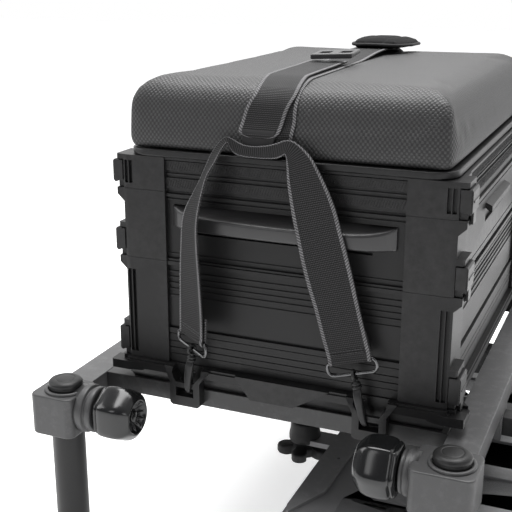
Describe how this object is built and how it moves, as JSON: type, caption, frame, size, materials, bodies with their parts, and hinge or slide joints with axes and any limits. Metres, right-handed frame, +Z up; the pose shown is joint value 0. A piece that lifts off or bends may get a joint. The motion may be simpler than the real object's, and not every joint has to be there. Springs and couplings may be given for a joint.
{
  "type": "fishing seat box",
  "caption": "Padded fishing seat on stacked tackle trays with a drawer, on a metal frame with sliding clamped legs, a pull-out lattice footplate and a clip-on carrying strap.",
  "frame": {"origin": "centre of the bounding box on the floor, under the feet", "axes": "+Z up, +X to the front where the drawer and footplate slide out, +Y to the far side"},
  "size_m": [0.582, 0.642, 0.5634],
  "materials": {
    "seat_cover": "embossed black coated fabric with a fine staggered diamond grain",
    "tray_plastic": "satin charcoal moulded plastic",
    "black_plastic": "satin black moulded plastic",
    "rail_metal": "satin dark grey anodised",
    "cast_metal": "satin dark grey coated casting",
    "leg_metal": "dark anodised tube",
    "knob_plastic": "gloss black moulded plastic",
    "grip_rubber": "matt black rubberised grip",
    "foot_rubber": "matt black rubber",
    "webbing": "black polyester webbing with grey edge lines",
    "clip_metal": "black chrome",
    "buckle_plastic": "black moulded plastic",
    "pad_foam": "black padded fabric"
  },
  "bodies": {
    "seat_box": {"seat_cushion": "seat_cover", "seat_rim": "black_plastic", "shallow_tray": "tray_plastic", "drawer_case": "tray_plastic", "deep_tray": "tray_plastic", "side_handle_near": "black_plastic", "side_handle_far": "black_plastic", "base_plate": "black_plastic", "side_rail_near": "rail_metal", "side_rail_far": "rail_metal", "rear_beam": "rail_metal", "front_beam": "cast_metal", "leg_block_rear_near": "cast_metal", "leg_block_rear_far": "cast_metal", "leg_block_front_near": "cast_metal", "leg_block_front_far": "cast_metal", "strap_near": "webbing", "strap_far": "webbing", "strap_top": "webbing", "strap_buckle": "buckle_plastic", "shoulder_pad": "pad_foam", "strap_ring_front_near": "clip_metal", "strap_ring_front_far": "clip_metal", "strap_ring_rear_near": "clip_metal", "strap_ring_rear_far": "clip_metal"},
    "drawer": {"drawer": "tray_plastic"},
    "footplate": {"footplate_deck": "cast_metal", "footplate_arm_near": "rail_metal", "footplate_arm_far": "rail_metal"},
    "leg_rear_near": {"leg_rear_near": "leg_metal"},
    "leg_rear_far": {"leg_rear_far": "leg_metal"},
    "leg_front_near": {"leg_front_near": "leg_metal"},
    "leg_front_far": {"leg_front_far": "leg_metal"},
    "foot_rear_near": {"foot_rear_near": "foot_rubber"},
    "foot_rear_far": {"foot_rear_far": "foot_rubber"},
    "foot_front_near": {"foot_front_near": "foot_rubber"},
    "foot_front_far": {"foot_front_far": "foot_rubber"},
    "clamp_knob_rear_near": {"clamp_knob_rear_near": "knob_plastic"},
    "clamp_knob_rear_far": {"clamp_knob_rear_far": "knob_plastic"},
    "clamp_knob_front_near": {"clamp_knob_front_near": "knob_plastic"},
    "clamp_knob_front_far": {"clamp_knob_front_far": "knob_plastic"},
    "footplate_knob_near": {"footplate_knob_near": "grip_rubber"},
    "footplate_knob_far": {"footplate_knob_far": "grip_rubber"},
    "snap_hook_rear_near": {"snap_hook_rear_near": "clip_metal"},
    "snap_hook_rear_far": {"snap_hook_rear_far": "clip_metal"},
    "snap_hook_front_near": {"snap_hook_front_near": "clip_metal"},
    "snap_hook_front_far": {"snap_hook_front_far": "clip_metal"},
    "latch_rear_near_top": {"latch_rear_near_top": "black_plastic"},
    "latch_rear_far_top": {"latch_rear_far_top": "black_plastic"},
    "latch_front_near_top": {"latch_front_near_top": "black_plastic"},
    "latch_front_far_top": {"latch_front_far_top": "black_plastic"},
    "latch_rear_near_mid": {"latch_rear_near_mid": "black_plastic"},
    "latch_rear_far_mid": {"latch_rear_far_mid": "black_plastic"},
    "latch_front_near_mid": {"latch_front_near_mid": "black_plastic"},
    "latch_front_far_mid": {"latch_front_far_mid": "black_plastic"},
    "latch_rear_near_low": {"latch_rear_near_low": "black_plastic"},
    "latch_rear_far_low": {"latch_rear_far_low": "black_plastic"},
    "latch_front_near_low": {"latch_front_near_low": "black_plastic"},
    "latch_front_far_low": {"latch_front_far_low": "black_plastic"}
  },
  "joints": [
    {"name": "drawer_slide", "type": "slide", "parent": "seat_box", "child": "drawer", "axis": [1, 0, 0], "range_m": [0, 0.26]},
    {"name": "footplate_slide", "type": "slide", "parent": "seat_box", "child": "footplate", "axis": [1, 0, 0], "range_m": [0, 0.13]},
    {"name": "leg_slide_rear_near", "type": "slide", "parent": "seat_box", "child": "leg_rear_near", "axis": [0, 0, 1], "range_m": [0, 0.1]},
    {"name": "leg_slide_rear_far", "type": "slide", "parent": "seat_box", "child": "leg_rear_far", "axis": [0, 0, 1], "range_m": [0, 0.1]},
    {"name": "leg_slide_front_near", "type": "slide", "parent": "seat_box", "child": "leg_front_near", "axis": [0, 0, 1], "range_m": [0, 0.1]},
    {"name": "leg_slide_front_far", "type": "slide", "parent": "seat_box", "child": "leg_front_far", "axis": [0, 0, 1], "range_m": [0, 0.1]},
    {"name": "foot_tilt_rear_near", "type": "hinge", "parent": "leg_rear_near", "child": "foot_rear_near", "pos_m": [-0.261, -0.293, 0.031], "axis": [0, 1, 0], "range_deg": [-10, 10]},
    {"name": "foot_tilt_rear_far", "type": "hinge", "parent": "leg_rear_far", "child": "foot_rear_far", "pos_m": [-0.261, 0.293, 0.031], "axis": [0, 1, 0], "range_deg": [-10, 10]},
    {"name": "foot_tilt_front_near", "type": "hinge", "parent": "leg_front_near", "child": "foot_front_near", "pos_m": [0.1605, -0.293, 0.031], "axis": [0, 1, 0], "range_deg": [-10, 10]},
    {"name": "foot_tilt_front_far", "type": "hinge", "parent": "leg_front_far", "child": "foot_front_far", "pos_m": [0.1605, 0.293, 0.031], "axis": [0, 1, 0], "range_deg": [-10, 10]},
    {"name": "clamp_turn_rear_near", "type": "hinge", "parent": "seat_box", "child": "clamp_knob_rear_near", "pos_m": [-0.199, -0.29, 0.193], "axis": [1, 0, 0], "range_deg": [0, 270]},
    {"name": "clamp_turn_rear_far", "type": "hinge", "parent": "seat_box", "child": "clamp_knob_rear_far", "pos_m": [-0.199, 0.29, 0.193], "axis": [1, 0, 0], "range_deg": [0, 270]},
    {"name": "clamp_turn_front_near", "type": "hinge", "parent": "seat_box", "child": "clamp_knob_front_near", "pos_m": [0.091, -0.29, 0.193], "axis": [1, 0, 0], "range_deg": [0, 270]},
    {"name": "clamp_turn_front_far", "type": "hinge", "parent": "seat_box", "child": "clamp_knob_front_far", "pos_m": [0.091, 0.29, 0.193], "axis": [1, 0, 0], "range_deg": [0, 270]},
    {"name": "footplate_knob_turn_near", "type": "hinge", "parent": "footplate", "child": "footplate_knob_near", "pos_m": [-0.058, -0.088, 0.082], "axis": [0, 0, 1], "range_deg": [0, 270]},
    {"name": "footplate_knob_turn_far", "type": "hinge", "parent": "footplate", "child": "footplate_knob_far", "pos_m": [-0.058, 0.088, 0.082], "axis": [0, 0, 1], "range_deg": [0, 270]},
    {"name": "hook_swivel_rear_near", "type": "hinge", "parent": "seat_box", "child": "snap_hook_rear_near", "pos_m": [-0.1305, -0.2462, 0.2622], "axis": [0.148, -0.1382, 0.9793], "range_deg": [-8, 8]},
    {"name": "hook_swivel_rear_far", "type": "hinge", "parent": "seat_box", "child": "snap_hook_rear_far", "pos_m": [-0.1305, 0.2462, 0.2622], "axis": [0.148, 0.1382, 0.9793], "range_deg": [-8, 8]},
    {"name": "hook_swivel_front_near", "type": "hinge", "parent": "seat_box", "child": "snap_hook_front_near", "pos_m": [0.0472, -0.2395, 0.2608], "axis": [-0.2571, 0, 0.9664], "range_deg": [-8, 8]},
    {"name": "hook_swivel_front_far", "type": "hinge", "parent": "seat_box", "child": "snap_hook_front_far", "pos_m": [0.0472, 0.2395, 0.2608], "axis": [-0.2571, 0, 0.9664], "range_deg": [-8, 8]},
    {"name": "latch_rear_near_top_swing", "type": "hinge", "parent": "seat_box", "child": "latch_rear_near_top", "pos_m": [-0.2286, -0.212, 0.454], "axis": [0, 1, 0], "range_deg": [0, 60]},
    {"name": "latch_rear_far_top_swing", "type": "hinge", "parent": "seat_box", "child": "latch_rear_far_top", "pos_m": [-0.2286, 0.212, 0.454], "axis": [0, 1, 0], "range_deg": [0, 60]},
    {"name": "latch_front_near_top_swing", "type": "hinge", "parent": "seat_box", "child": "latch_front_near_top", "pos_m": [0.1506, -0.212, 0.454], "axis": [0, -1, 0], "range_deg": [0, 60]},
    {"name": "latch_front_far_top_swing", "type": "hinge", "parent": "seat_box", "child": "latch_front_far_top", "pos_m": [0.1506, 0.212, 0.454], "axis": [0, -1, 0], "range_deg": [0, 60]},
    {"name": "latch_rear_near_mid_swing", "type": "hinge", "parent": "seat_box", "child": "latch_rear_near_mid", "pos_m": [-0.2286, -0.212, 0.3792], "axis": [0, 1, 0], "range_deg": [0, 60]},
    {"name": "latch_rear_far_mid_swing", "type": "hinge", "parent": "seat_box", "child": "latch_rear_far_mid", "pos_m": [-0.2286, 0.212, 0.3792], "axis": [0, 1, 0], "range_deg": [0, 60]},
    {"name": "latch_front_near_mid_swing", "type": "hinge", "parent": "seat_box", "child": "latch_front_near_mid", "pos_m": [0.1506, -0.212, 0.3792], "axis": [0, -1, 0], "range_deg": [0, 60]},
    {"name": "latch_front_far_mid_swing", "type": "hinge", "parent": "seat_box", "child": "latch_front_far_mid", "pos_m": [0.1506, 0.212, 0.3792], "axis": [0, -1, 0], "range_deg": [0, 60]},
    {"name": "latch_rear_near_low_swing", "type": "hinge", "parent": "seat_box", "child": "latch_rear_near_low", "pos_m": [-0.2286, -0.212, 0.2656], "axis": [0, 1, 0], "range_deg": [0, 60]},
    {"name": "latch_rear_far_low_swing", "type": "hinge", "parent": "seat_box", "child": "latch_rear_far_low", "pos_m": [-0.2286, 0.212, 0.2656], "axis": [0, 1, 0], "range_deg": [0, 60]},
    {"name": "latch_front_near_low_swing", "type": "hinge", "parent": "seat_box", "child": "latch_front_near_low", "pos_m": [0.1506, -0.212, 0.2656], "axis": [0, -1, 0], "range_deg": [0, 60]},
    {"name": "latch_front_far_low_swing", "type": "hinge", "parent": "seat_box", "child": "latch_front_far_low", "pos_m": [0.1506, 0.212, 0.2656], "axis": [0, -1, 0], "range_deg": [0, 60]}
  ]
}
